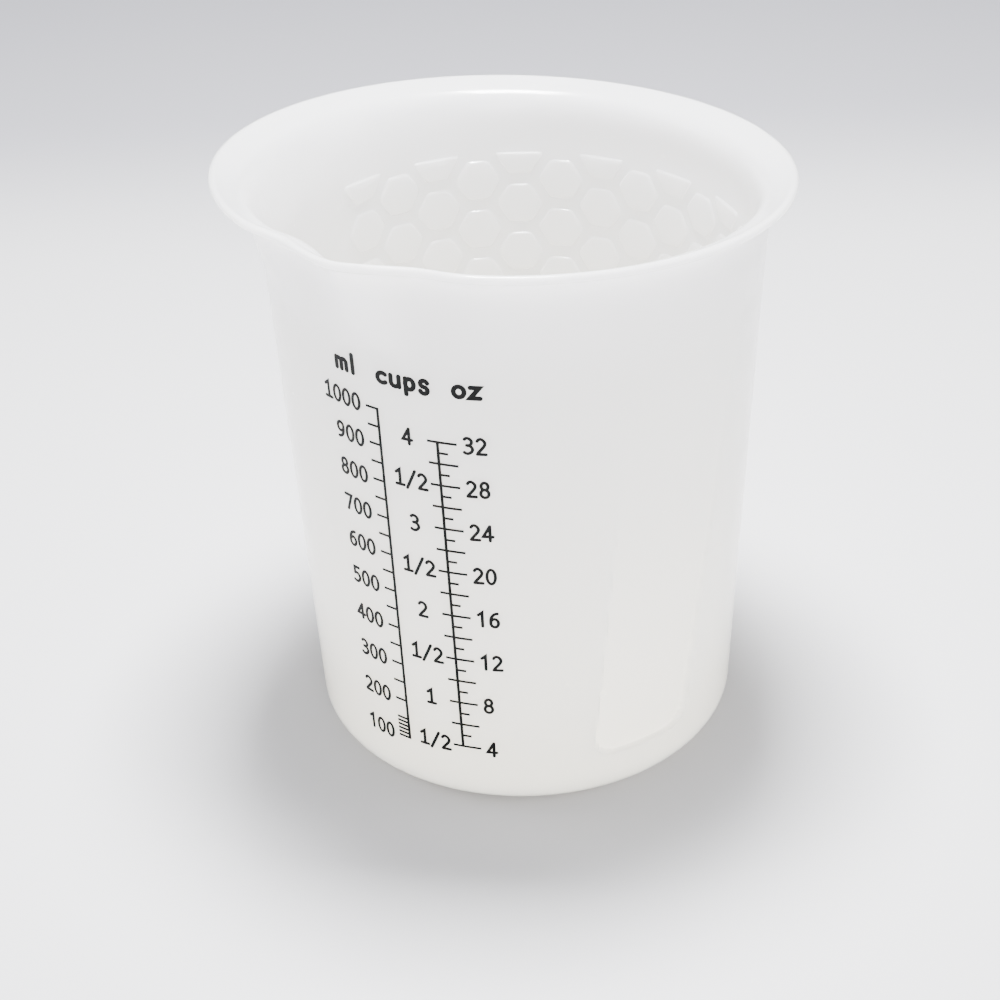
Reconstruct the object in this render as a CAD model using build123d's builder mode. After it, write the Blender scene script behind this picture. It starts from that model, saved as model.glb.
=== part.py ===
from build123d import *
from math import atan, cos, degrees, exp, pi, radians, sin, sqrt
import os

# A silicone cup of one litre for mixing resin, with a printed measuring scale.
# Millimetres, +Z up. The origin is the centre of the flat underside. The spout points along -Y.
# An azimuth is an angle about Z in degrees: 0 at -Y, growing towards +X.

# The wall is a cone that widens upwards, over a flat floor
WALL_RADIUS = 53.45         # outside of the wall, where its line meets the table
WALL_TAPER_SHARE = 0.0538   # how far the wall leans out for each unit of height
WALL = 2.73                 # thickness of the wall, measured level
WALL_TOP = 129.5            # height at which the wall turns into the flare
FLOOR = 4.7                 # thickness of the floor
FOOT_ROUND = 7.8            # rounding where the outside meets the table
CORNER_ROUND = 3.0          # rounding where the inside meets the floor

# The flare and the lip, which leans up towards the spout
LIP_RADIUS = 69.65          # outside of the lip
LIP_TOP = 151.9             # mean height of the lip's upper edge
LIP_LEAN = 5.6              # how much higher than the mean the lip is near the spout
LIP_LEAN_AZIMUTH = 8.8      # where it is highest
LIP_SHIFT = 2.5             # how far the lip's circle is moved off the wall's
LIP_SHIFT_AZIMUTH = -27.6   # and where to
LIP_ROUND = 1.0             # rounding of the lip's outer edge, above and below
LIP_FLAT = 0.4              # width of the level strip on top of it
MOUTH_RADIUS = 62.9         # where the inside turns outwards to the lip
# Places on the outside and the inside of the flare, as shares of its reach (outwards, upwards)
FLARE_SHARES = [
    (0.07, 0.22), (0.143, 0.44), (0.204, 0.636), (0.277, 0.783), (0.386, 0.876), (0.569, 0.935), (0.8, 0.974),
]
MOUTH_SHARES = [
    (0.044, 0.2), (0.1, 0.401), (0.171, 0.58), (0.257, 0.718), (0.361, 0.811), (0.493, 0.88), (0.673, 0.93),
    (0.844, 0.965), (1.0, 1.0),
]
ROUND_STEPS = 4             # rings on each half of the edge's rounding
# Places of a ring's points, as shares of half a turn away from the spout, on each side of it
RING_SHARES = [0.022, 0.045, 0.068, 0.092, 0.118, 0.15, 0.19, 0.25, 0.33, 0.42, 0.51, 0.6, 0.7, 0.8, 0.9]

# The spout, a small beak pressed into the lip
SPOUT_AZIMUTH = 0.5         # azimuth of its middle
SPOUT_REACH = 4.4           # how far the mouth moves out at its tip
SPOUT_BEAK = 1.9            # how far the lip's outside moves out there
SPOUT_HALF_ANGLE = 6.5      # half width of the beak
PINCH = 1.6                 # how far the lip is drawn in on each side of the beak
PINCH_ANGLE = 16.0          # how far from the beak's middle that is
PINCH_HALF_ANGLE = 6.5      # half width of the drawn-in place

# Two grip panels, sunk into the wall and fading out upwards
PANEL_DEPTH = 1.3           # depth of a panel at its lower edge
PANEL_LOW = 14.0            # height of its lower edge
PANEL_HIGH = 122.0          # height at which it has faded out
PANEL_TURN = 0.5            # azimuth halfway between the two panels
PANEL_AZIMUTH = 64.4        # from there to the middle of a panel's lower edge
PANEL_LOW_WIDTH = 27.1      # width of the lower edge
PANEL_HIGH_WIDTH = 33.9     # width at the upper end
PANEL_SLANT = 10.0          # how far a panel leans away from the spout on its way up
PANEL_ROUND = 5.5           # rounding of its lower corners

# Honeycomb pads inside, opposite the spout
CELL_WIDTH = 12.6           # from corner to corner of a cell
CELL_FLAT = 6.0             # length of its level edges
CELL_HEIGHT = 10.9          # between its level edges
CELL_PITCH = 13.67          # from one cell to the next in a column
CELL_ROWS = 8               # whole cells in the middle column
CELL_AZIMUTH = 178.2        # azimuth of the middle column
CELL_TURN = 11.0            # azimuth from one column to the next
CELL_COLUMNS = 7            # columns on each side of the middle one
CELL_MIDDLE = 74.1          # height of the pattern's middle
CELL_REACH = 55.3           # from there to its upper and lower end
CELL_DEPTH = 0.55           # how far a pad stands out of the wall
CELL_ROOT = 0.15            # how far a pad's root goes into the wall
CELL_BEVEL = 40.0           # slope of a pad's edges, in degrees from the square

# The measuring scale
MILLILITRE_EDGE = 10.0      # edge of a cube that holds one millilitre
OUNCE_SHARE = 29.5735       # a fluid ounce, in millilitres
ML_FIRST = 100              # lowest mark of the millilitre scale
ML_LAST = 1000              # and its highest
ML_STEP = 50                # from one tick to the next
ML_FINE_STEP = 10           # from one fine tick to the next, above the lowest mark
OZ_FIRST = 4                # lowest mark of the ounce scale
OZ_LAST = 32                # and its highest
OZ_STEP = 4                 # ounces in half a cup, and from one number to the next
INK = 0.1                   # thickness of the print
SPINE_PEN = 0.72             # width of the upright lines
TICK_PEN = 0.62              # width of the level lines
NUMBER_PEN = 0.78           # width of a number's strokes
HEADING_PEN = 1.15          # width of a heading's strokes
NUMBER_HEIGHT = 4.1         # height of a number, between the middles of its strokes
NUMBER_WIDTH = 2.0          # its width, between the middles of its strokes
NUMBER_ADVANCE = 3.0        # from one character to the next
HEADING_HEIGHT = 2.75       # height of a low letter, between the middles of its strokes
HEADING_WIDTH = 2.25        # its width
HEADING_ADVANCE = 3.6       # from one letter to the next
HEADING_BASE = 121.75       # height of the line that the headings stand on, at the cups scale
DROP_SHARE = 0.02           # how far the print drops for each unit of its way to the right
# Places across the print, counted along the wall from the millilitre scale's upright line
ML_TICK = 3.2               # length of its ticks, to the left
ML_NUMBER_END = 5.2         # from the line to the end of its numbers
ML_HEADING = 11.1           # from the line to the beginning of its heading
CUPS_MIDDLE = 7.4           # middle of the cups numbers
CUPS_HEADING = 0.9          # beginning of their heading
OZ_SPINE = 14.9             # upright line of the ounce scale
OZ_TICK_LEFT = 2.5          # reach of an even ounce's tick to the left of it
OZ_TICK_RIGHT = 4.65        # and to the right
OZ_SHORT_TICK = 2.4         # reach of an odd ounce's tick
OZ_NUMBER = 21.2            # beginning of the ounce numbers
OZ_HEADING = 19.8           # beginning of their heading
# Pen strokes of each character as shares of its width and height. A line turns at its points,
# a curve runs smoothly through them, an arc has three, an oval has a middle and two half widths
STROKE_SHARES = {
    "0": [("oval", [(0.5, 0.5), (0.5, 0.5)])],
    "1": [("line", [(0.08, 0.8), (0.55, 1.0), (0.55, 0.0)])],
    "i": [("line", [(0.08, 0.8), (0.55, 1.0), (0.55, 0.0)]), ("line", [(0.05, 0.0), (1.05, 0.0)])],
    "2": [
        ("curve", [(0.03, 0.86), (0.46, 1.0), (0.9, 0.76), (0.62, 0.42), (0.0, 0.0)]),
        ("line", [(0.0, 0.0), (1.0, 0.0)]),
    ],
    "3": [
        ("curve", [(0.06, 0.92), (0.5, 1.0), (0.88, 0.77), (0.62, 0.55), (0.3, 0.53)]),
        ("curve", [(0.3, 0.53), (0.7, 0.49), (0.96, 0.27), (0.55, 0.01), (0.0, 0.06)]),
    ],
    "4": [("line", [(0.74, 0.0), (0.74, 1.0)]), ("line", [(0.74, 1.0), (-0.05, 0.28), (1.08, 0.28)])],
    "5": [
        ("line", [(0.9, 1.0), (0.14, 1.0), (0.14, 0.56)]),
        ("curve", [(0.14, 0.56), (0.6, 0.58), (0.97, 0.31), (0.6, 0.02), (0.02, 0.04)]),
    ],
    "6": [
        ("oval", [(0.51, 0.29), (0.46, 0.29)]),
        ("curve", [(0.88, 0.98), (0.4, 0.88), (0.08, 0.55), (0.05, 0.29)]),
    ],
    "7": [("line", [(0.0, 1.0), (1.0, 1.0), (0.32, 0.0)])],
    "8": [("oval", [(0.5, 0.76), (0.4, 0.24)]), ("oval", [(0.5, 0.26), (0.47, 0.26)])],
    "9": [
        ("oval", [(0.49, 0.71), (0.46, 0.29)]),
        ("curve", [(0.12, 0.02), (0.6, 0.12), (0.92, 0.45), (0.95, 0.71)]),
    ],
    "/": [("line", [(-0.05, -0.12), (1.05, 1.1)])],
    "m": [
        ("line", [(0.0, 0.0), (0.0, 1.0)]),
        ("arc", [(0.0, 0.62), (0.34, 0.98), (0.68, 0.62)]),
        ("line", [(0.68, 0.62), (0.68, 0.0)]),
        ("arc", [(0.68, 0.62), (1.02, 0.98), (1.36, 0.62)]),
        ("line", [(1.36, 0.62), (1.36, 0.0)]),
    ],
    "l": [("line", [(0.62, 0.0), (0.62, 1.72)])],
    "c": [("arc", [(0.95, 0.87), (0.03, 0.5), (0.95, 0.13)])],
    "u": [
        ("line", [(0.0, 1.0), (0.0, 0.36)]),
        ("arc", [(0.0, 0.36), (0.46, 0.0), (0.92, 0.36)]),
        ("line", [(0.92, 1.0), (0.92, 0.0)]),
    ],
    "p": [("line", [(0.08, 1.0), (0.08, -0.5)]), ("oval", [(0.5, 0.5), (0.46, 0.5)])],
    "s": [
        ("arc", [(0.84, 0.91), (0.12, 0.76), (0.46, 0.5)]),
        ("arc", [(0.46, 0.5), (0.83, 0.24), (0.08, 0.09)]),
    ],
    "o": [("oval", [(0.5, 0.5), (0.55, 0.5)])],
    "z": [("line", [(0.1, 1.0), (1.0, 1.0), (0.05, 0.0), (1.05, 0.0)])],
}

OVERRUN = 5.0               # how far a cutting shape runs past what it cuts


def outside(height):
    """Radius of the wall's outside at a height."""
    return WALL_RADIUS + WALL_TAPER_SHARE * height


def inside(height):
    """Radius of the wall's inside at a height."""
    return outside(height) - WALL


def fill_height(millilitres):
    """Height above the table that a filling reaches, from the volume of the tapered inside."""
    corner = 2 * pi * inside(FLOOR) * (1 - pi / 4) * CORNER_ROUND**2
    volume = millilitres * MILLILITRE_EDGE**3 + corner
    level = (inside(FLOOR) ** 3 + 3 * WALL_TAPER_SHARE * volume / pi) ** (1 / 3)
    return (level - inside(0)) / WALL_TAPER_SHARE


def facing(azimuth, radius=0, lean=0):
    """A plane that faces outwards at an azimuth, its X to the right and its Y up or leaning out."""
    turn = radians(azimuth)
    level = 1 / sqrt(1 + lean**2)
    return Plane(
        origin=(radius * sin(turn), -radius * cos(turn), 0),
        x_dir=(cos(turn), sin(turn), 0),
        z_dir=(level * sin(turn), -level * cos(turn), -level * lean),
    )


def grown(height):
    """How far the lean, the shift and the spout have grown at a height, from 0 to 1."""
    rise = (height - WALL_TOP) / (LIP_TOP - WALL_TOP)
    return rise * rise * (3 - 2 * rise)


def ring(radius, height):
    """One level of the flare as a closed curve, which leans and moves with its height."""
    share = grown(height)
    past = max(0, (radius - MOUTH_RADIUS) / (LIP_RADIUS - MOUTH_RADIUS))
    beak = SPOUT_REACH + (SPOUT_BEAK - SPOUT_REACH) * past
    offs = [0] + [180 * place for place in RING_SHARES] + [180]
    offs += [360 - 180 * place for place in reversed(RING_SHARES)]
    shift_turn = radians(LIP_SHIFT_AZIMUTH)
    points = []
    for off in offs:
        away = min(off, 360 - off)
        bump = beak * exp(-((away / SPOUT_HALF_ANGLE) ** 2))
        dent = PINCH * exp(-(((away - PINCH_ANGLE) / PINCH_HALF_ANGLE) ** 2))
        reach = radius + share * (bump - dent)
        turn = radians(SPOUT_AZIMUTH + off)
        lean = LIP_LEAN * share * reach * cos(turn - radians(LIP_LEAN_AZIMUTH)) / LIP_RADIUS
        sideways = reach * sin(turn) + LIP_SHIFT * share * sin(shift_turn)
        forward = reach * cos(turn) + LIP_SHIFT * share * cos(shift_turn)
        points.append((sideways, -forward, height + lean))
    with BuildLine() as curve:
        Spline(*points, periodic=True)
    return curve.wires()[0]


def flare_rings(foot, reach, high, shares):
    """The levels of one side of the flare, from the wall's top to a radius and a height."""
    with BuildLine(Plane.XY.offset(WALL_TOP)) as lowest:
        CenterArc((0, 0), foot, SPOUT_AZIMUTH - 90, 360)
    rings = [lowest.wires()[0]]
    for out_share, up_share in shares:
        rings.append(ring(foot + out_share * (reach - foot), WALL_TOP + up_share * (high - WALL_TOP)))
    return rings


def hexagon_points(cut_high, cut_low):
    """A cell's outline, or what is left of it between two heights above its middle."""
    half = CELL_HEIGHT / 2
    corner = CELL_WIDTH / 2
    slope = (CELL_WIDTH - CELL_FLAT) / CELL_HEIGHT
    high = min(half, cut_high)
    low = max(-half, cut_low)
    right = [(corner - slope * abs(low), low)]
    if low < 0 < high:
        right.append((corner, 0))
    right.append((corner - slope * abs(high), high))
    return right + [(-x, y) for x, y in reversed(right)]


HEADING_MARKS = "mlcupsoz"   # characters drawn at the headings' size
FOOTED_ONE = "i"            # a one that stands on a foot
PEN_PATHS = {"line": Polyline, "curve": Spline, "arc": ThreePointArc}


def draw_mark(strokes, width, height, pen):
    """The flat shape of one character, drawn with a round pen from its lower left corner."""
    with BuildSketch() as mark:
        for kind, shares in strokes:
            points = [(x * width, y * height) for x, y in shares]
            if kind == "oval":
                middle, half = points
                with Locations(middle):
                    Ellipse(half[0] + pen / 2, half[1] + pen / 2)
                    Ellipse(half[0] - pen / 2, half[1] - pen / 2, mode=Mode.SUBTRACT)
                continue
            with BuildLine():
                PEN_PATHS[kind](*points)
            trace(line_width=pen)
            with Locations(points[0], points[-1]):
                Circle(pen / 2)
    return mark.sketch


def across(place, height, azimuth):
    """Where a place along the wall lies on the plane that faces an azimuth."""
    return outside(height) * sin(place / outside(height) - radians(azimuth))


def azimuth_of(place):
    """Azimuth of a place along the wall, at half the wall's height."""
    return degrees(place / outside(WALL_TOP / 2))


def dropped(height, place):
    """Height of a mark at a place along the wall, with the print's drop to the right."""
    return height - DROP_SHARE * (place - CUPS_MIDDLE)


def row(words, begin, height, azimuth, advance):
    """Adds a row of characters to the open sketch, beginning at a place along the wall."""
    left = across(begin, height, azimuth)
    for number, mark in enumerate(words):
        along = number * advance
        with Locations((left + along, dropped(height, begin + along))):
            add(MARKS[mark])


def number_row(words, begin, height, azimuth):
    """Adds a number to the open sketch, level with a tick."""
    row(words, begin, height - NUMBER_HEIGHT / 2, azimuth, NUMBER_ADVANCE)


def number_width(words):
    """Width of a number."""
    return (len(words) - 1) * NUMBER_ADVANCE + NUMBER_WIDTH


def tick(begin, end, height, azimuth):
    """Adds a level line to the open sketch, between two places along the wall."""
    left = across(begin, height, azimuth)
    right = across(end, height, azimuth)
    with Locations(((left + right) / 2, dropped(height, (begin + end) / 2))):
        Rectangle(right - left, TICK_PEN, rotation=-degrees(atan(DROP_SHARE)))


def spine(place, low, high, azimuth):
    """Adds a scale's upright line to the open sketch, at one place along the wall."""
    with BuildLine() as line:
        Line((across(place, low, azimuth), low), (across(place, high, azimuth), high))
    trace(line.line, line_width=SPINE_PEN)


def wall_shell(low, high, inner, outer):
    """The section of a thin shell that follows the wall, from an inner to an outer surface."""
    Polyline((inner(low), low), (outer(low), low), (outer(high), high), (inner(high), high), close=True)


def ink_surface(height):
    """Radius of the print's outside at a height."""
    return outside(height) + INK


def pad_surface(height):
    """Radius of the honeycomb pads' tops at a height."""
    return inside(height) - CELL_DEPTH


def wall_middle(height):
    """Radius halfway through the wall at a height."""
    return outside(height) - WALL / 2


# What the grip panels take out of the wall
with BuildPart() as panel_recess:
    for side in (-1, 1):
        with BuildSketch(facing(PANEL_TURN + side * PANEL_AZIMUTH)):
            with BuildLine():
                slanted = side * PANEL_SLANT
                Polyline(
                    (-PANEL_LOW_WIDTH / 2, PANEL_LOW),
                    (PANEL_LOW_WIDTH / 2, PANEL_LOW),
                    (slanted + PANEL_HIGH_WIDTH / 2, PANEL_HIGH),
                    (slanted - PANEL_HIGH_WIDTH / 2, PANEL_HIGH),
                    close=True,
                )
            outline = make_face()
            fillet(outline.vertices().group_by(Axis.Y)[0], PANEL_ROUND)
        extrude(amount=LIP_RADIUS)
    with BuildSketch(Plane.XZ):
        with BuildLine():
            Polyline(
                (outside(PANEL_LOW) - PANEL_DEPTH, PANEL_LOW),
                (outside(PANEL_LOW) + OVERRUN, PANEL_LOW),
                (outside(PANEL_HIGH) + OVERRUN, PANEL_HIGH),
                (outside(PANEL_HIGH), PANEL_HIGH),
                close=True,
            )
        make_face()
    revolve(axis=Axis.Z, mode=Mode.INTERSECT)

# The honeycomb pads, each with sloping edges, cut to follow the wall
with BuildPart() as honeycomb:
    slant = sqrt(1 + WALL_TAPER_SHARE**2)
    for column in range(-CELL_COLUMNS, CELL_COLUMNS + 1):
        half_row = column % 2 / 2
        rows = CELL_ROWS + column % 2
        azimuth = CELL_AZIMUTH + column * CELL_TURN
        with BuildSketch(facing(azimuth, inside(0) + CELL_ROOT, WALL_TAPER_SHARE)):
            for cell in range(rows):
                middle = CELL_MIDDLE + (cell - (rows - 1) / 2) * CELL_PITCH
                cut = CELL_MIDDLE + CELL_REACH - middle, CELL_MIDDLE - CELL_REACH - middle
                with Locations((0, middle * slant)):
                    Polygon(*hexagon_points(*cut), align=None)
        extrude(amount=-(CELL_ROOT + 2 * CELL_DEPTH), taper=CELL_BEVEL)
    with BuildSketch(Plane.XZ):
        with BuildLine():
            wall_shell(0, WALL_TOP, pad_surface, wall_middle)
        make_face()
    revolve(axis=Axis.Z, mode=Mode.INTERSECT)

outer_rings = flare_rings(outside(WALL_TOP), LIP_RADIUS - LIP_ROUND, LIP_TOP - 2 * LIP_ROUND, FLARE_SHARES)
for step in range(-ROUND_STEPS, ROUND_STEPS + 1):
    turn = radians(90 * step / ROUND_STEPS)
    around = LIP_RADIUS - LIP_ROUND * (1 - cos(turn))
    outer_rings.append(ring(around, LIP_TOP - LIP_ROUND * (1 - sin(turn))))
mouth_rings = flare_rings(inside(WALL_TOP), LIP_RADIUS - LIP_ROUND - LIP_FLAT, LIP_TOP, MOUTH_SHARES)

# The flare is closed by its two sides and two flat rings, which no single operation makes
flare_faces = [Face(outer_rings[end], [mouth_rings[end]]) for end in (0, -1)]
for rings in (outer_rings, mouth_rings):
    flare_faces += Solid.make_loft(rings).faces().filter_by(GeomType.PLANE, reverse=True)
flare = Solid(Shell(flare_faces))

# The cup itself, one moulding: floor, foot and wall, then the flare, the panels and the pads
with BuildPart() as cup_body:
    with BuildSketch(Plane.XZ):
        with BuildLine():
            Polyline(
                (0, 0),
                (WALL_RADIUS, 0),
                (outside(WALL_TOP), WALL_TOP),
                (inside(WALL_TOP), WALL_TOP),
                (inside(FLOOR), FLOOR),
                (0, FLOOR),
                close=True,
            )
        section = make_face()
        fillet(section.vertices().sort_by_distance((WALL_RADIUS, 0))[0], FOOT_ROUND)
        fillet(section.vertices().sort_by_distance((inside(FLOOR), FLOOR))[0], CORNER_ROUND)
    revolve(axis=Axis.Z)
    add(flare)
    add(panel_recess.part, mode=Mode.SUBTRACT)
    add(honeycomb.part)

# The print. Each group is drawn flat, pushed out through the wall and cut to a film on its outside
MARKS = {}
for mark, strokes in STROKE_SHARES.items():
    if mark in HEADING_MARKS:
        MARKS[mark] = draw_mark(strokes, HEADING_WIDTH, HEADING_HEIGHT, HEADING_PEN)
    else:
        MARKS[mark] = draw_mark(strokes, NUMBER_WIDTH, NUMBER_HEIGHT, NUMBER_PEN)
with BuildPart() as ink_film:
    with BuildSketch(Plane.XZ):
        with BuildLine():
            wall_shell(0, WALL_TOP, outside, ink_surface)
        make_face()
    revolve(axis=Axis.Z)

# The three headings
with BuildPart() as ml_heading:
    with BuildSketch(facing(azimuth_of(-ML_HEADING))):
        row("ml", -ML_HEADING, HEADING_BASE, azimuth_of(-ML_HEADING), HEADING_ADVANCE)
    extrude(amount=LIP_RADIUS)
    add(ink_film.part, mode=Mode.INTERSECT)
with BuildPart() as cups_heading:
    with BuildSketch(facing(azimuth_of(CUPS_MIDDLE))):
        row("cups", CUPS_HEADING, HEADING_BASE, azimuth_of(CUPS_MIDDLE), HEADING_ADVANCE)
    extrude(amount=LIP_RADIUS)
    add(ink_film.part, mode=Mode.INTERSECT)
with BuildPart() as oz_heading:
    with BuildSketch(facing(azimuth_of(OZ_HEADING))):
        row("oz", OZ_HEADING, HEADING_BASE, azimuth_of(OZ_HEADING), HEADING_ADVANCE)
    extrude(amount=LIP_RADIUS)
    add(ink_film.part, mode=Mode.INTERSECT)

# The millilitre scale: an upright line, a tick at each 50 ml and fine ones at each 10 ml below 150
with BuildPart() as ml_scale_lines:
    with BuildSketch(facing(0)):
        low = dropped(fill_height(ML_FIRST) - TICK_PEN / 2, 0)
        high = dropped(fill_height(ML_LAST) + TICK_PEN / 2, 0)
        spine(0, low, high, 0)
        for volume in range(ML_FIRST, ML_LAST + 1, ML_STEP):
            tick(-ML_TICK, 0, fill_height(volume), 0)
        for volume in range(ML_FIRST, ML_FIRST + ML_STEP, ML_FINE_STEP):
            tick(-ML_TICK, 0, fill_height(volume), 0)
    extrude(amount=LIP_RADIUS)
    add(ink_film.part, mode=Mode.INTERSECT)
with BuildPart() as ml_numbers:
    with BuildSketch(facing(azimuth_of(-ML_NUMBER_END))):
        for volume in range(ML_FIRST, ML_LAST + 1, 2 * ML_STEP):
            words = str(volume)
            if volume == ML_LAST:
                words = words.replace("1", FOOTED_ONE)
            begin = -ML_NUMBER_END - number_width(words)
            number_row(words, begin, fill_height(volume), azimuth_of(-ML_NUMBER_END))
    extrude(amount=LIP_RADIUS)
    add(ink_film.part, mode=Mode.INTERSECT)

# The cups, counted in halves beside every fourth ounce
with BuildPart() as cups_numbers:
    with BuildSketch(facing(azimuth_of(CUPS_MIDDLE))):
        for half_cups in range(1, OZ_LAST // OZ_STEP + 1):
            words = "i/2" if half_cups % 2 else str(half_cups // 2).replace("1", FOOTED_ONE)
            begin = CUPS_MIDDLE - number_width(words) / 2
            height = fill_height(half_cups * OZ_STEP * OUNCE_SHARE)
            number_row(words, begin, height, azimuth_of(CUPS_MIDDLE))
    extrude(amount=LIP_RADIUS)
    add(ink_film.part, mode=Mode.INTERSECT)

# The ounce scale: an upright line, a long tick at each even ounce and a short one at each odd one
with BuildPart() as oz_scale_lines:
    with BuildSketch(facing(azimuth_of(OZ_SPINE))):
        low = dropped(fill_height(OZ_FIRST * OUNCE_SHARE), OZ_SPINE)
        high = dropped(fill_height(OZ_LAST * OUNCE_SHARE), OZ_SPINE)
        spine(OZ_SPINE, low, high, azimuth_of(OZ_SPINE))
        for ounces in range(OZ_FIRST, OZ_LAST + 1):
            level = fill_height(ounces * OUNCE_SHARE)
            if ounces % 2:
                tick(OZ_SPINE, OZ_SPINE + OZ_SHORT_TICK, level, azimuth_of(OZ_SPINE))
            else:
                tick(OZ_SPINE - OZ_TICK_LEFT, OZ_SPINE + OZ_TICK_RIGHT, level, azimuth_of(OZ_SPINE))
    extrude(amount=LIP_RADIUS)
    add(ink_film.part, mode=Mode.INTERSECT)
with BuildPart() as oz_numbers:
    with BuildSketch(facing(azimuth_of(OZ_NUMBER))):
        for ounces in range(OZ_FIRST, OZ_LAST + 1, OZ_STEP):
            number_row(str(ounces), OZ_NUMBER, fill_height(ounces * OUNCE_SHARE), azimuth_of(OZ_NUMBER))
    extrude(amount=LIP_RADIUS)
    add(ink_film.part, mode=Mode.INTERSECT)

PIECES = {
    "cup_body": cup_body,
    "ml_heading": ml_heading,
    "cups_heading": cups_heading,
    "oz_heading": oz_heading,
    "ml_scale_lines": ml_scale_lines,
    "ml_numbers": ml_numbers,
    "cups_numbers": cups_numbers,
    "oz_scale_lines": oz_scale_lines,
    "oz_numbers": oz_numbers,
}
os.makedirs("parts", exist_ok=True)
for name, piece in PIECES.items():
    piece.part.label = name
    export_step(piece.part, f"parts/{name}.step")
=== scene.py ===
from math import atan2, cos, exp, hypot, pi, radians, sin

import bpy
from mathutils import Matrix, Vector


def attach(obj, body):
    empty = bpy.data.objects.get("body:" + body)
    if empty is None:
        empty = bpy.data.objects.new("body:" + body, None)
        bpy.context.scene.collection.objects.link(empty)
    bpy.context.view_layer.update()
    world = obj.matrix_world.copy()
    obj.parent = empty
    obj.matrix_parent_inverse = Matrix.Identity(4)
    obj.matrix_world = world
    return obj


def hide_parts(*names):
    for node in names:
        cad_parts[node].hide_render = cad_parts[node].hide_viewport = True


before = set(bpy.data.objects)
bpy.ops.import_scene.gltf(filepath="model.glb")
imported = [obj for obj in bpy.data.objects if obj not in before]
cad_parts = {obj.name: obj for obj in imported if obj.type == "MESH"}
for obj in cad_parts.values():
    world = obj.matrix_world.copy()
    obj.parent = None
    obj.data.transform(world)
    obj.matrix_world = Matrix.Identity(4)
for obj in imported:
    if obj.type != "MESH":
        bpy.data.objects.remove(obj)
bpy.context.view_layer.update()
MM = 0.001

# The wall is a cone that widens upwards, over a flat floor. Radii and heights are in millimetres
WALL_RADIUS = 53.45
WALL_TAPER_SHARE = 0.0538
WALL = 2.73
WALL_LEAN = 3.08                    # the wall's slope, in degrees from upright
WALL_TOP = 129.5
FLOOR = 4.7
FOOT_ROUND = 7.8
CORNER_ROUND = 3.0
CORNER_END = -9                     # where the rounding meets the inside, in degrees from level
UNDERSIDE_SHARES = (0.5, 0.95)      # rings on the underside, out to its rounded foot
FLOOR_SHARES = (0.9, 0.6, 0.3)      # and on the floor, in from its corner

# The flare and the lip
LIP_RADIUS = 69.65
LIP_TOP = 151.9
LIP_LEAN = 5.6
LIP_LEAN_AZIMUTH = radians(8.8)
LIP_SHIFT = 2.5
LIP_SHIFT_AZIMUTH = radians(-27.6)
LIP_ROUND = 1.0
LIP_FLAT = 0.4
LIP_START = -75                     # where the lip's rounding begins, in degrees from level
MOUTH_RADIUS = 62.9
FLARE_SHARES = [
    (0.07, 0.22), (0.143, 0.44), (0.204, 0.636), (0.277, 0.783), (0.386, 0.876), (0.569, 0.935), (0.8, 0.974),
]
MOUTH_SHARES = [
    (0.044, 0.2), (0.1, 0.401), (0.171, 0.58), (0.257, 0.718), (0.361, 0.811), (0.493, 0.88), (0.673, 0.93),
    (0.844, 0.965), (1.0, 1.0),
]

# The spout. Azimuths run from the spout's side, -Y, towards +X
SPOUT_AZIMUTH = radians(0.5)
SPOUT_REACH = 4.4
SPOUT_BEAK = 1.9
SPOUT_HALF_ANGLE = radians(6.5)
PINCH = 1.6
PINCH_ANGLE = radians(16.0)
PINCH_HALF_ANGLE = radians(6.5)

# The two grip panels
PANEL_DEPTH = 1.3
PANEL_LOW = 14.0
PANEL_HIGH = 122.0
PANEL_TURN = radians(0.5)
PANEL_AZIMUTH = radians(64.4)
PANEL_LOW_WIDTH = 27.1
PANEL_HIGH_WIDTH = 33.9
PANEL_SLANT = 10.0
PANEL_ROUND = 5.5
PANEL_EDGE = 0.6                    # how wide the soft step round a panel is

# The honeycomb pads
CELL_WIDTH = 12.6
CELL_FLAT = 6.0
CELL_HEIGHT = 10.9
CELL_PITCH = 13.67
CELL_ROWS = 8
CELL_AZIMUTH = radians(178.2)
CELL_TURN = radians(11.0)
CELL_COLUMNS = 7
CELL_MIDDLE = 74.1
CELL_REACH = 55.3
CELL_ROOT = 0.8                     # how deep a pad is rooted, so that its flat underside stays in the wall
# A pad's steps from its root to its top: how far each rises, and its width as a share of the last
PAD_STEPS = [
    (CELL_ROOT, 0.985), (0.38, 0.955), (0.11, 0.978), (0.045, 0.972), (0.015, 0.95), (0.0, 0.7), (0.0, 0.55),
]
PAD_CORNER = 1.1                    # rounding of a pad's corners, seen from the front
PAD_CORNER_STEPS = 3
CREASE_ANGLE = radians(28)          # edges sharper than this stay crisp

# How finely the cup is turned
TURN_STEPS = 400
FOOT_STEPS = 14
CORNER_STEPS = 6
FLARE_STEPS = 3                     # between two places of the flare
LIP_STEPS = 8
FINE_ROW = 0.36                     # height of a row where the panels' lower edges are
COARSE_ROW = 2.4                    # where the wall is plain
INSIDE_ROW = 9.6                    # and on its inside
MERGE_DISTANCE = 0.01

# Where the paper's painted shade starts and ends, behind the cup
PAINTED_SHADE_START = 250 * MM
PAINTED_SHADE_END = 400 * MM
PAPER_SIZE = 6.0

# Sizes of the materials' patterns
CLOUDING = 15 * MM
HANDLING_MARKS = 6 * MM
MOULD_GRAIN = 0.5 * MM
SCREEN_MESH = 0.3 * MM

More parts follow.
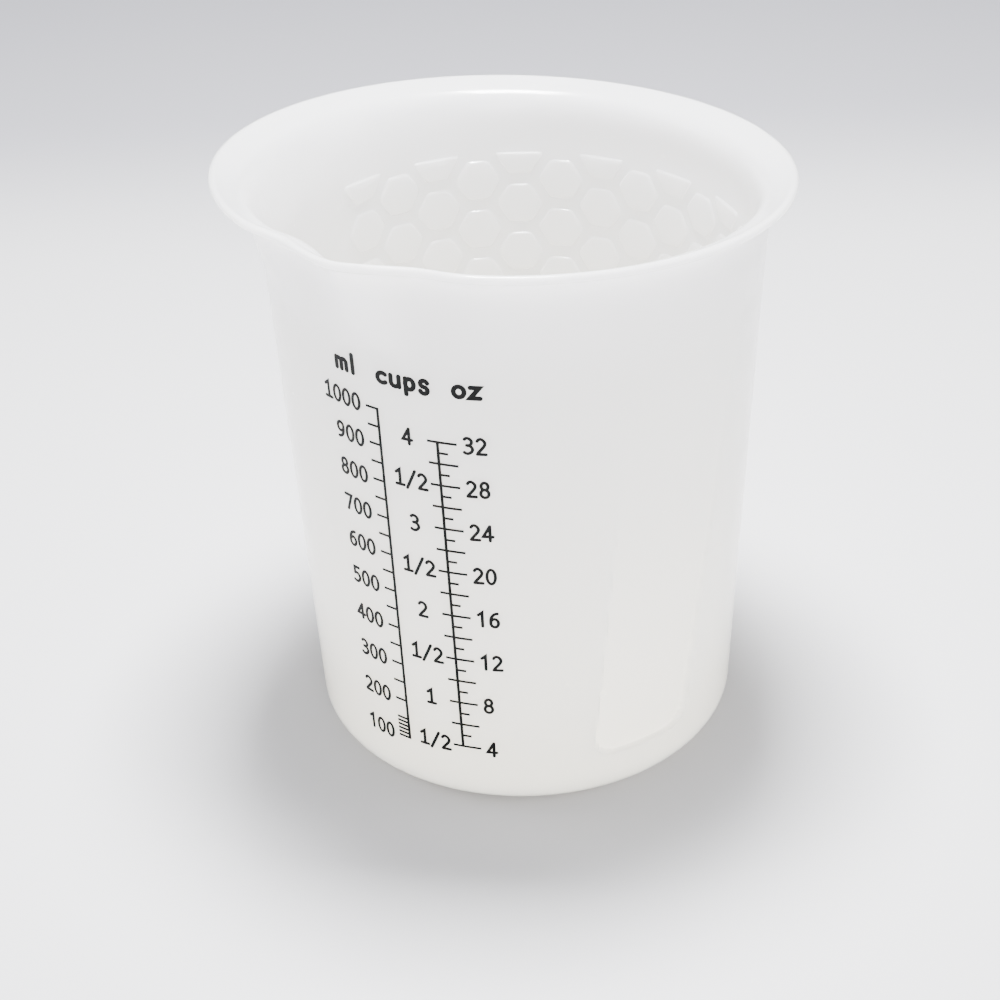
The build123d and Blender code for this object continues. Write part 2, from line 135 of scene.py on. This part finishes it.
# The softboxes: name, place, the point that each faces, size and power
SOFTBOXES = [
    ("overhead", (-0.02, 0.04, 0.66), (0, 0, 0), 0.17, 20),
    ("front", (0.7, -0.9, 0.5), (0, 0, 0.04), 0.6, 8),
    ("left", (-1.0, -0.4, 0.55), (0, 0, 0.05), 0.5, 5),
    ("right", (1.0, 0.5, 0.4), (0, 0, 0.04), 0.5, 5),
]
ROOM_COLOUR = "e6e8ee"
ROOM_STRENGTH = 0.52

# The camera, as the photograph was taken
CAMERA_AZIMUTH = radians(33.5)      # round the cup from the spout, towards +X
CAMERA_ELEVATION = radians(31.76)
CAMERA_DISTANCE = 635 * MM
CAMERA_TARGET = Vector((-4.67, -3.09, 58.0)) * MM
CAMERA_ROLL = 0.033                 # radians, clockwise in the picture
FIELD_OF_VIEW = radians(22.89)


def deselect():
    """Leaves nothing selected, so that an operator acts on the new piece alone."""
    bpy.ops.object.select_all(action="DESELECT")


def linear(hex_colour):
    """A colour written as sRGB hex, as the linear values that Blender's shaders take."""
    channels = [int(hex_colour[place:place + 2], 16) / 255 for place in (0, 2, 4)]
    return [c / 12.92 if c <= 0.04045 else ((c + 0.055) / 1.055) ** 2.4 for c in channels] + [1.0]


def put_node(tree, kind, settings=None, **links):
    """Adds a node of a kind, sets its sockets or fields by name, and links its inputs."""
    node = tree.nodes.new(kind)
    for name, value in (settings or {}).items():
        if name in node.inputs:
            node.inputs[name].default_value = value
        else:
            setattr(node, name, value)
    for name, source in links.items():
        tree.links.new(source, node.inputs[name.replace("_", " ")])
    return node


def new_material(name):
    """An empty material with its output node."""
    material = bpy.data.materials.new(name)
    material.use_nodes = True
    material.node_tree.nodes.clear()
    return material, material.node_tree


def outside(height):
    """Radius of the wall's outside at a height."""
    return WALL_RADIUS + WALL_TAPER_SHARE * height


def inside(height):
    """Radius of the wall's inside at a height."""
    return outside(height) - WALL


def smooth(share):
    """A step from 0 to 1 that starts and ends softly."""
    share = min(1, max(0, share))
    return share * share * (3 - 2 * share)


def rows_between(low, high, row):
    """Heights from low up to, but without, high, about a row apart."""
    count = max(1, round((high - low) / row))
    return [low + (high - low) * number / count for number in range(count)]


def rounding(middle_radius, middle_height, radius, start, end, steps):
    """Points on a rounding of the section, between two angles in degrees from level."""
    turns = [radians(start + (end - start) * step / steps) for step in range(steps + 1)]
    return [(middle_radius + radius * cos(turn), middle_height + radius * sin(turn)) for turn in turns]


def flare_points(foot, reach, high, shares, steps):
    """A smooth line through the flare's places, from just above the wall's top.

    Each stretch is a cubic curve. It runs between its two middle places, and the outer two bend it.
    """
    places = [(foot - (outside(1) - outside(0)), WALL_TOP - 1), (foot, WALL_TOP)]
    places += [(foot + out * (reach - foot), WALL_TOP + up * (high - WALL_TOP)) for out, up in shares]
    places.append((2 * places[-1][0] - places[-2][0], 2 * places[-1][1] - places[-2][1]))
    points = []
    for before, start, end, after in zip(places, places[1:], places[2:], places[3:]):
        for step in range(1, steps + 1):
            t = step / steps
            point = []
            for a, b, c, d in zip(before, start, end, after):
                bend = (2 * a - 5 * b + 4 * c - d) * t**2
                twist = (3 * b - a - 3 * c + d) * t**3
                point.append((2 * b + (c - a) * t + bend + twist) / 2)
            points.append(tuple(point))
    return points


def cup_section():
    """The cup's section, from the middle of the underside round the lip to the middle of the floor."""
    foot_middle = outside(FOOT_ROUND) - FOOT_ROUND / cos(radians(WALL_LEAN))
    points = [(0, 0)] + [(foot_middle * share, 0) for share in UNDERSIDE_SHARES]
    points += rounding(foot_middle, FOOT_ROUND, FOOT_ROUND, -90, -WALL_LEAN, FOOT_STEPS)
    panel_foot = PANEL_LOW - 2 * PANEL_EDGE
    heights = rows_between(points[-1][1] + 1, panel_foot, COARSE_ROW)
    heights += rows_between(panel_foot, PANEL_LOW + PANEL_ROUND, FINE_ROW)
    heights += rows_between(PANEL_LOW + PANEL_ROUND, WALL_TOP, COARSE_ROW) + [WALL_TOP]
    points += [(outside(height), height) for height in heights]
    edge = LIP_RADIUS - LIP_ROUND
    points += flare_points(outside(WALL_TOP), edge, LIP_TOP - 2 * LIP_ROUND, FLARE_SHARES, FLARE_STEPS)
    points += rounding(edge, LIP_TOP - LIP_ROUND, LIP_ROUND, LIP_START, 90, LIP_STEPS)
    mouth = flare_points(inside(WALL_TOP), edge - LIP_FLAT, LIP_TOP, MOUTH_SHARES, FLARE_STEPS)
    points += reversed(mouth)
    corner = FLOOR + CORNER_ROUND
    heights = rows_between(corner, WALL_TOP, INSIDE_ROW) + [WALL_TOP]
    points += [(inside(height), height) for height in reversed(heights[1:])]
    floor_radius = inside(corner) - CORNER_ROUND
    points += reversed(rounding(floor_radius, corner, CORNER_ROUND, -90, CORNER_END, CORNER_STEPS))
    return points + [(floor_radius * share, FLOOR) for share in FLOOR_SHARES] + [(0, FLOOR)]


def panel_recess(azimuth, height):
    """How deep the grip panels are sunk into the wall's outside at a place."""
    if not PANEL_LOW - PANEL_EDGE < height < PANEL_HIGH:
        return 0
    up = (height - PANEL_LOW) / (PANEL_HIGH - PANEL_LOW)
    half_width = (PANEL_LOW_WIDTH + (PANEL_HIGH_WIDTH - PANEL_LOW_WIDTH) * up) / 2
    recess = 0
    for side in (-1, 1):
        turn = azimuth - PANEL_TURN - side * PANEL_AZIMUTH
        if cos(turn) < 0:
            continue
        across = abs(outside(height) * sin(turn) - side * PANEL_SLANT * up)
        past_side = across - (half_width - PANEL_ROUND)
        past_foot = PANEL_LOW + PANEL_ROUND - height
        if past_side > 0 and past_foot > 0:
            within = PANEL_ROUND - hypot(past_side, past_foot)
        else:
            within = min(PANEL_ROUND - past_side, PANEL_ROUND - past_foot)
        recess += PANEL_DEPTH * (1 - max(0, up)) * smooth(0.5 + within / PANEL_EDGE)
    return recess


def shaped(azimuth, radius, height):
    """Where a point of the turned cup goes, with the panels, the spout and the lip's lean and shift."""
    if height <= WALL_TOP:
        if height > 0 and radius > outside(height) - WALL / 2:
            radius -= panel_recess(azimuth, height)
        return radius * sin(azimuth), -radius * cos(azimuth), height
    share = smooth((height - WALL_TOP) / (LIP_TOP - WALL_TOP))
    past = max(0, (radius - MOUTH_RADIUS) / (LIP_RADIUS - MOUTH_RADIUS))
    off = abs((azimuth - SPOUT_AZIMUTH + pi) % (2 * pi) - pi)
    beak = SPOUT_REACH + (SPOUT_BEAK - SPOUT_REACH) * past
    radius += share * beak * exp(-((off / SPOUT_HALF_ANGLE) ** 2))
    radius -= share * PINCH * exp(-(((off - PINCH_ANGLE) / PINCH_HALF_ANGLE) ** 2))
    sideways = radius * sin(azimuth) + LIP_SHIFT * share * sin(LIP_SHIFT_AZIMUTH)
    forward = radius * cos(azimuth) + LIP_SHIFT * share * cos(LIP_SHIFT_AZIMUTH)
    lean = LIP_LEAN * share * radius * cos(azimuth - LIP_LEAN_AZIMUTH) / LIP_RADIUS
    return sideways, -forward, height + lean


def turn_cup():
    """The cup in one piece: its section drawn point by point, turned round the axis, then shaped."""
    deselect()
    bpy.ops.mesh.primitive_plane_add(size=1)
    cup = bpy.context.object
    cup.name = "moulded_cup"
    bpy.ops.object.mode_set(mode="EDIT")
    bpy.ops.mesh.select_mode(type="VERT")
    bpy.ops.mesh.select_all(action="SELECT")
    bpy.ops.mesh.merge(type="CENTER")
    place = (0, 0)
    for radius, height in cup_section()[1:]:
        step = (radius - place[0], 0, height - place[1])
        bpy.ops.mesh.extrude_vertices_move(TRANSFORM_OT_translate={"value": step})
        place = (radius, height)
    bpy.ops.mesh.select_all(action="SELECT")
    bpy.ops.mesh.spin(steps=TURN_STEPS, angle=2 * pi, center=(0, 0, 0), axis=(0, 0, 1))
    bpy.ops.mesh.select_all(action="SELECT")
    bpy.ops.mesh.remove_doubles(threshold=MERGE_DISTANCE)
    bpy.ops.mesh.normals_make_consistent(inside=False)
    bpy.ops.object.mode_set(mode="OBJECT")
    for vertex in cup.data.vertices:
        x, y, height = vertex.co
        azimuth = atan2(x, -y)
        vertex.co = Vector(shaped(azimuth, hypot(x, y), height)) * MM
    bpy.ops.object.shade_smooth()
    return cup


def cell_outline(cut_high, cut_low):
    """A cell's six corners, or what is left of it between two heights above its middle."""
    half = CELL_HEIGHT / 2
    corner = CELL_WIDTH / 2
    slope = (CELL_WIDTH - CELL_FLAT) / CELL_HEIGHT
    high, low = min(half, cut_high), max(-half, cut_low)
    right = [(corner - slope * abs(low), low), (corner, 0), (corner - slope * abs(high), high)]
    return right + [(-x, y) for x, y in reversed(right)]


def model_pad(name, corners):
    """One pad lying flat: its outline with rounded corners, raised step by step to a soft top."""
    deselect()
    bpy.ops.mesh.primitive_circle_add(vertices=len(corners), radius=1, fill_type="NGON")
    pad = bpy.context.object
    pad.name = name
    around = list(pad.data.polygons[0].vertices)
    for number, (x, y) in zip(around, corners):
        pad.data.vertices[number].co = (x, y, -CELL_ROOT)
    bpy.ops.object.mode_set(mode="EDIT")
    bpy.ops.mesh.select_all(action="SELECT")
    bpy.ops.mesh.bevel(affect="VERTICES", offset=PAD_CORNER, segments=PAD_CORNER_STEPS, clamp_overlap=True)
    bpy.ops.mesh.select_mode(type="FACE")
    bpy.ops.mesh.select_all(action="SELECT")
    middle = (max(y for x, y in corners) + min(y for x, y in corners)) / 2
    for rise, share in PAD_STEPS:
        bpy.ops.mesh.extrude_region_move(TRANSFORM_OT_translate={"value": (0, 0, rise)})
        bpy.ops.transform.resize(value=(share, share, 1), center_override=(0, middle, 0))
    bpy.ops.mesh.select_all(action="SELECT")
    bpy.ops.mesh.normals_make_consistent(inside=False)
    bpy.ops.object.mode_set(mode="OBJECT")
    return pad


def wrap_pad(pattern, azimuth, middle):
    """A copy of a flat pad, bent onto the wall's inside round a place."""
    pad = pattern.copy()
    pad.data = pattern.data.copy()
    bpy.context.collection.objects.link(pad)
    for vertex in pad.data.vertices:
        across, up, rise = vertex.co
        height = middle + up
        turn = azimuth - across / inside(height)
        radius = inside(height) - rise
        vertex.co = Vector((radius * sin(turn), -radius * cos(turn), height)) * MM
    return pad


def honeycomb():
    """All pads as one piece: whole cells, and cut ones where the pattern ends above and below."""
    patterns = {}
    pads = []
    for column in range(-CELL_COLUMNS, CELL_COLUMNS + 1):
        rows = CELL_ROWS + column % 2
        for cell in range(rows):
            middle = CELL_MIDDLE + (cell - (rows - 1) / 2) * CELL_PITCH
            cut_high = min(CELL_HEIGHT, CELL_MIDDLE + CELL_REACH - middle)
            cut_low = max(-CELL_HEIGHT, CELL_MIDDLE - CELL_REACH - middle)
            key = round(cut_high, 3), round(cut_low, 3)
            if key not in patterns:
                patterns[key] = model_pad("pad_pattern", cell_outline(cut_high, cut_low))
            pads.append(wrap_pad(patterns[key], CELL_AZIMUTH + column * CELL_TURN, middle))
    for pattern in patterns.values():
        bpy.data.objects.remove(pattern)
    deselect()
    for pad in pads:
        pad.select_set(True)
    bpy.context.view_layer.objects.active = pads[0]
    bpy.ops.object.join()
    joined = bpy.context.object
    joined.name = "honeycomb_pads"
    bpy.ops.object.mode_set(mode="EDIT")
    bpy.ops.mesh.select_all(action="SELECT")
    bpy.ops.mesh.normals_make_consistent(inside=False)
    bpy.ops.object.mode_set(mode="OBJECT")
    return joined


def mould_pads(cup, pads):
    """Makes the pads one body with the cup, with crisp feet where they meet the wall."""
    deselect()
    bpy.context.view_layer.objects.active = cup
    cup.select_set(True)
    joint = cup.modifiers.new("joint", "BOOLEAN")
    joint.operation = "UNION"
    joint.solver = "MANIFOLD"
    joint.object = pads
    bpy.ops.object.modifier_apply(modifier=joint.name)
    bpy.data.objects.remove(pads)
    bpy.ops.object.shade_smooth_by_angle(angle=CREASE_ANGLE)


def silicone_material():
    """Translucent white silicone rubber, cast in a polished mould.

    Light spreads inside it, it has a satin sheen, and its edges catch thin bright lines. Its colour is
    painted warmer and brighter low down, a painted glow of light shining through the foot, and is cooler at
    the lip.
    """
    material, tree = new_material("cast_silicone_rubber")
    place = put_node(tree, "ShaderNodeTexCoord").outputs["Object"]
    height = put_node(tree, "ShaderNodeSeparateXYZ", Vector=place).outputs["Z"]
    # Painted light: the colour is painted warmer and brighter low down, a painted glow of light through the
    # foot, and cooler towards the lip
    rise = put_node(tree, "ShaderNodeMapRange", {
        "From Min": 0.0,
        "From Max": LIP_TOP * MM,
    }, Value=height)
    painted_glow_tint = put_node(tree, "ShaderNodeValToRGB", Fac=rise.outputs[0])
    stops = painted_glow_tint.color_ramp.elements
    stops[0].color = linear("fff8e8")
    stops[1].color = linear("f4f1ff")
    low = stops.new(0.3)
    low.color = linear("f8f6ee")
    high = stops.new(0.8)
    high.color = linear("f3f3f2")
    # Faint clouding of the cast rubber
    cloud = put_node(tree, "ShaderNodeTexNoise", {"Scale": 1 / CLOUDING, "Detail": 2.0}, Vector=place)
    clouding = put_node(tree, "ShaderNodeMapRange", {
        "To Min": 0.985,
        "To Max": 1.0,
    }, Value=cloud.outputs["Fac"])
    colour = put_node(tree, "ShaderNodeVectorMath", {"operation": "SCALE"})
    tree.links.new(painted_glow_tint.outputs["Color"], colour.inputs[0])
    tree.links.new(clouding.outputs[0], colour.inputs["Scale"])
    # Handling marks change the sheen a little
    marks = put_node(tree, "ShaderNodeTexNoise", {"Scale": 1 / HANDLING_MARKS, "Detail": 4.0}, Vector=place)
    sheen = put_node(tree, "ShaderNodeMapRange", {"To Min": 0.2, "To Max": 0.3}, Value=marks.outputs["Fac"])
    # The fine grain of the mould, coarser than life so that it shows
    grain = put_node(tree, "ShaderNodeTexNoise", {"Scale": 1 / MOULD_GRAIN, "Detail": 2.0}, Vector=place)
    bump = put_node(tree, "ShaderNodeBump", {
        "Strength": 0.05,
        "Distance": 0.02 * MM,
    }, Height=grain.outputs["Fac"])
    shader = put_node(tree, "ShaderNodeBsdfPrincipled", {
        "IOR": 1.41,
        "Subsurface Weight": 1.0,
        "Subsurface Radius": (1.0, 0.97, 0.95),
        "Subsurface Scale": 12 * MM,
        "Coat Weight": 0.6,
        "Coat Roughness": 0.09,
        "Coat IOR": 1.41,
    }, Base_Color=colour.outputs[0], Roughness=sheen.outputs[0], Normal=bump.outputs[0])
    put_node(tree, "ShaderNodeOutputMaterial", Surface=shader.outputs[0])
    return material


def ink_material():
    """Screen-printed black silicone ink: a thin dull film, a little uneven where the screen left it."""
    material, tree = new_material("screen_printed_ink")
    place = put_node(tree, "ShaderNodeTexCoord").outputs["Object"]
    # The mesh of the printing screen leaves the film duller in places
    screen = put_node(tree, "ShaderNodeTexNoise", {"Scale": 1 / SCREEN_MESH, "Detail": 1.0}, Vector=place)
    dull = put_node(tree, "ShaderNodeMapRange", {"To Min": 0.45, "To Max": 0.65}, Value=screen.outputs["Fac"])
    shader = put_node(tree, "ShaderNodeBsdfPrincipled", {
        "Base Color": linear("030303"),
        "Specular IOR Level": 0.15,
    }, Roughness=dull.outputs[0])
    put_node(tree, "ShaderNodeOutputMaterial", Surface=shader.outputs[0])
    return material


def table_material():
    """Matt pale paper, with a painted shade that darkens it behind the cup."""
    material, tree = new_material("pale_paper_painted_shade")
    place = put_node(tree, "ShaderNodeTexCoord").outputs["Object"]
    behind = put_node(tree, "ShaderNodeVectorMath", {"operation": "DOT_PRODUCT"})
    tree.links.new(place, behind.inputs[0])
    behind.inputs[1].default_value = (-sin(CAMERA_AZIMUTH), cos(CAMERA_AZIMUTH), 0)
    share = put_node(tree, "ShaderNodeMapRange", {
        "interpolation_type": "SMOOTHSTEP",
        "From Min": PAINTED_SHADE_START,
        "From Max": PAINTED_SHADE_END,
    }, Value=behind.outputs["Value"])
    # Painted shade: the paper's colour darkens from pale to grey further behind the cup
    colour = put_node(tree, "ShaderNodeMix", {"data_type": "RGBA"})
    tree.links.new(share.outputs[0], colour.inputs["Factor"])
    colour.inputs[6].default_value = linear("e6e6e9")
    colour.inputs[7].default_value = linear("bebec6")
    shader = put_node(tree, "ShaderNodeBsdfPrincipled", {"Roughness": 0.6}, Base_Color=colour.outputs[2])
    put_node(tree, "ShaderNodeOutputMaterial", Surface=shader.outputs[0])
    return material


SILICONE = silicone_material()
INK = ink_material()
for name, cad_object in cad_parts.items():
    cad_object.data.materials.clear()
    cad_object.data.materials.append(SILICONE if name == "cup_body" else INK)

cup = turn_cup()
mould_pads(cup, honeycomb())
cup.data.materials.clear()
cup.data.materials.append(SILICONE)
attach(cup, "root")
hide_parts("cup_body")

# The floor, a flat pale sheet
deselect()
bpy.ops.mesh.primitive_plane_add(size=PAPER_SIZE, location=(0, 0, 0))
floor = bpy.context.object
floor.name = "floor"
floor.data.materials.append(table_material())


def soft_light(name, place, aim, size, power):
    """A square studio softbox that faces a point."""
    deselect()
    bpy.ops.object.light_add(type="AREA", location=place)
    light = bpy.context.object
    light.name = name
    light.data.shape = "SQUARE"
    light.data.size = size
    light.data.energy = power
    light.rotation_euler = (Vector(aim) - Vector(place)).to_track_quat("-Z", "Y").to_euler()


for softbox in SOFTBOXES:
    soft_light(*softbox)

world = bpy.data.worlds.new("studio")
bpy.context.scene.world = world
world.use_nodes = True
background = world.node_tree.nodes["Background"]
background.inputs["Color"].default_value = linear(ROOM_COLOUR)
background.inputs["Strength"].default_value = ROOM_STRENGTH

deselect()
direction = Vector((
    sin(CAMERA_AZIMUTH) * cos(CAMERA_ELEVATION),
    -cos(CAMERA_AZIMUTH) * cos(CAMERA_ELEVATION),
    sin(CAMERA_ELEVATION),
))
bpy.ops.object.camera_add(location=CAMERA_TARGET + CAMERA_DISTANCE * direction)
camera = bpy.context.object
camera.name = "camera"
level = direction.to_track_quat("Z", "Y").to_matrix()
camera.rotation_euler = (level @ Matrix.Rotation(-CAMERA_ROLL, 3, "Z")).to_euler()
camera.data.sensor_width = 36
camera.data.lens_unit = "FOV"
camera.data.angle = FIELD_OF_VIEW
camera.data.clip_start = 0.01
bpy.context.scene.camera = camera
